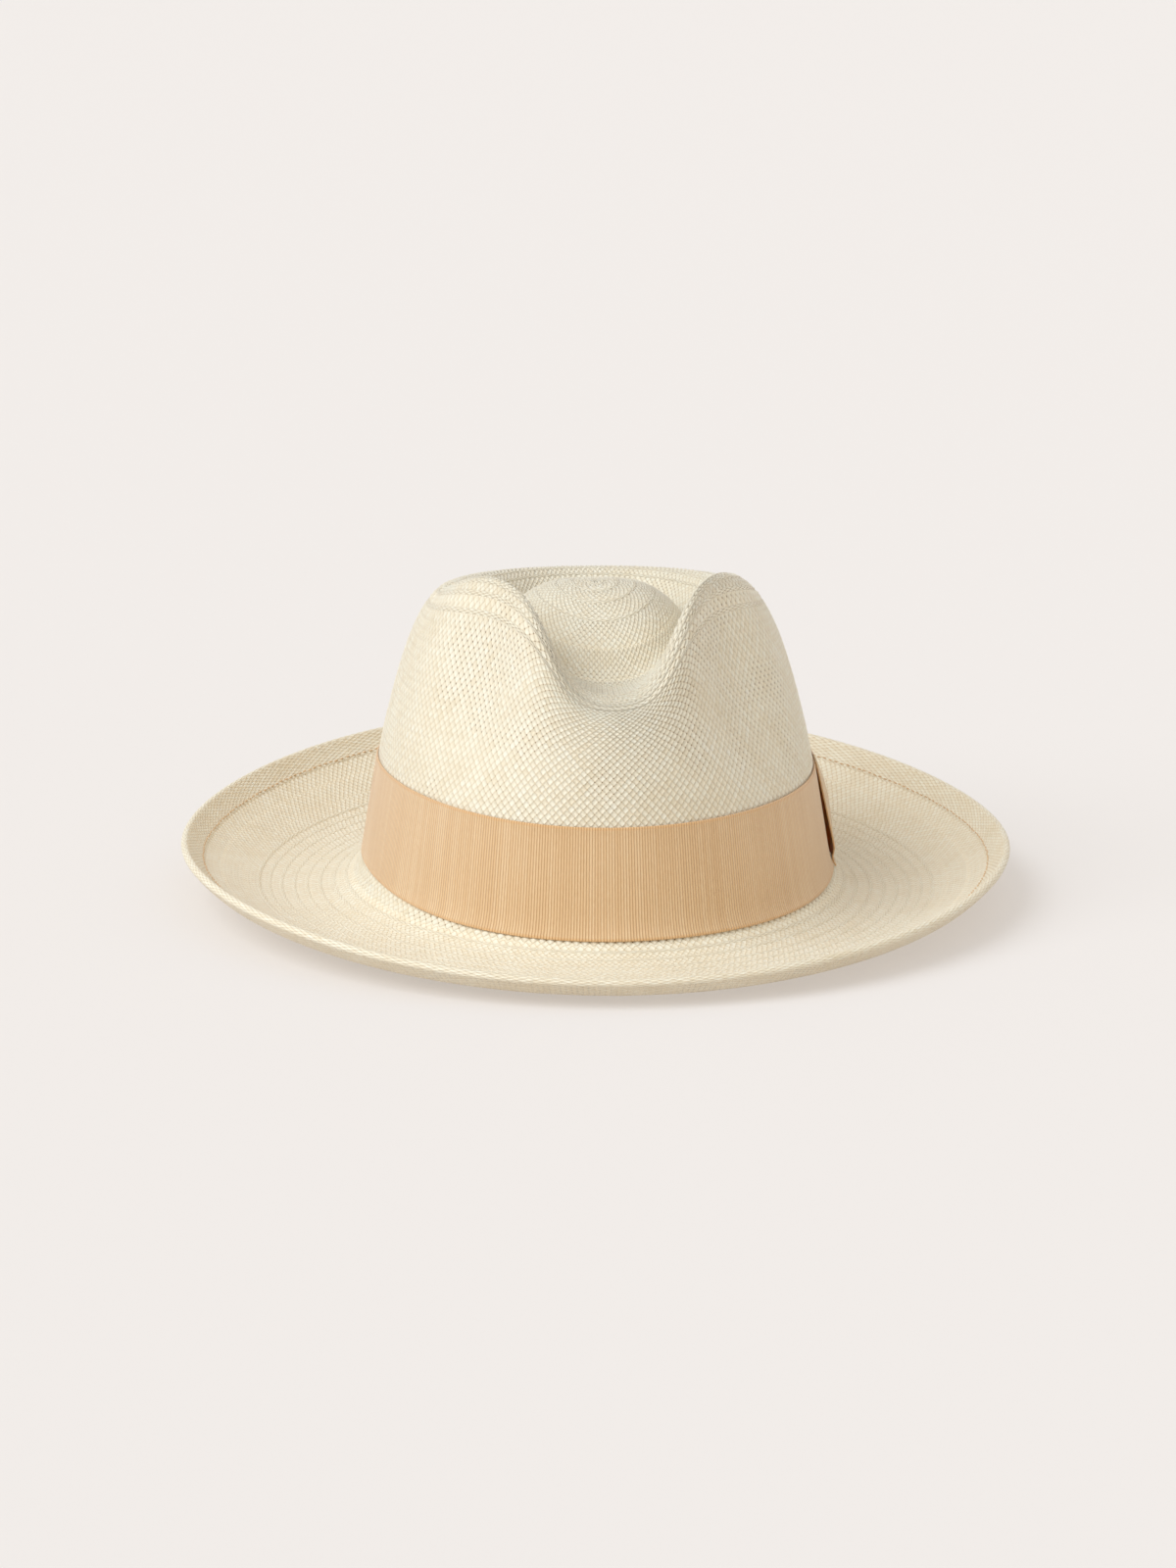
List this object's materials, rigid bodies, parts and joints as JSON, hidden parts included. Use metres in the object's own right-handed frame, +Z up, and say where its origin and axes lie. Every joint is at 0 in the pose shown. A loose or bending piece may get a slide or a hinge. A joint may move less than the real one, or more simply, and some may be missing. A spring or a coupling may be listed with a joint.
{
  "type": "panama hat",
  "caption": "Woven straw hat with a pinched teardrop crown, a curled brim, a ribbon band with a flat bow and an inner sweatband.",
  "frame": {"origin": "centre of the hat's footprint at its lowest level, the underside of the brim", "axes": "+Z up through the crown, -Y towards the front of the hat, +X towards the wearer's left, where the bow is"},
  "size_m": [0.2938, 0.3269, 0.1232],
  "materials": {
    "straw": "woven straw, matte with a faint sheen",
    "ribbon": "grosgrain, fine vertical ribs",
    "thread": "twisted cotton thread",
    "sweatband_leather": "smooth tan leather",
    "reed": "matte",
    "tape": "woven tape",
    "inner_bow": "satin ribbon",
    "label": "blank woven label"
  },
  "bodies": {
    "root": {"straw_body": "straw", "ribbon_band": "ribbon", "ribbon_lap": "ribbon", "bow_panel": "ribbon", "bow_loop": "ribbon", "bow_keeper": "ribbon", "bow_tacks": "thread", "sweatband": "sweatband_leather", "sweatband_reed": "reed", "reed_tape": "tape", "sweatband_stitching": "thread", "sweatband_seam": "thread", "sweatband_bow": "inner_bow", "sweatband_bow_knot": "inner_bow", "size_label": "label"}
  },
  "joints": []
}
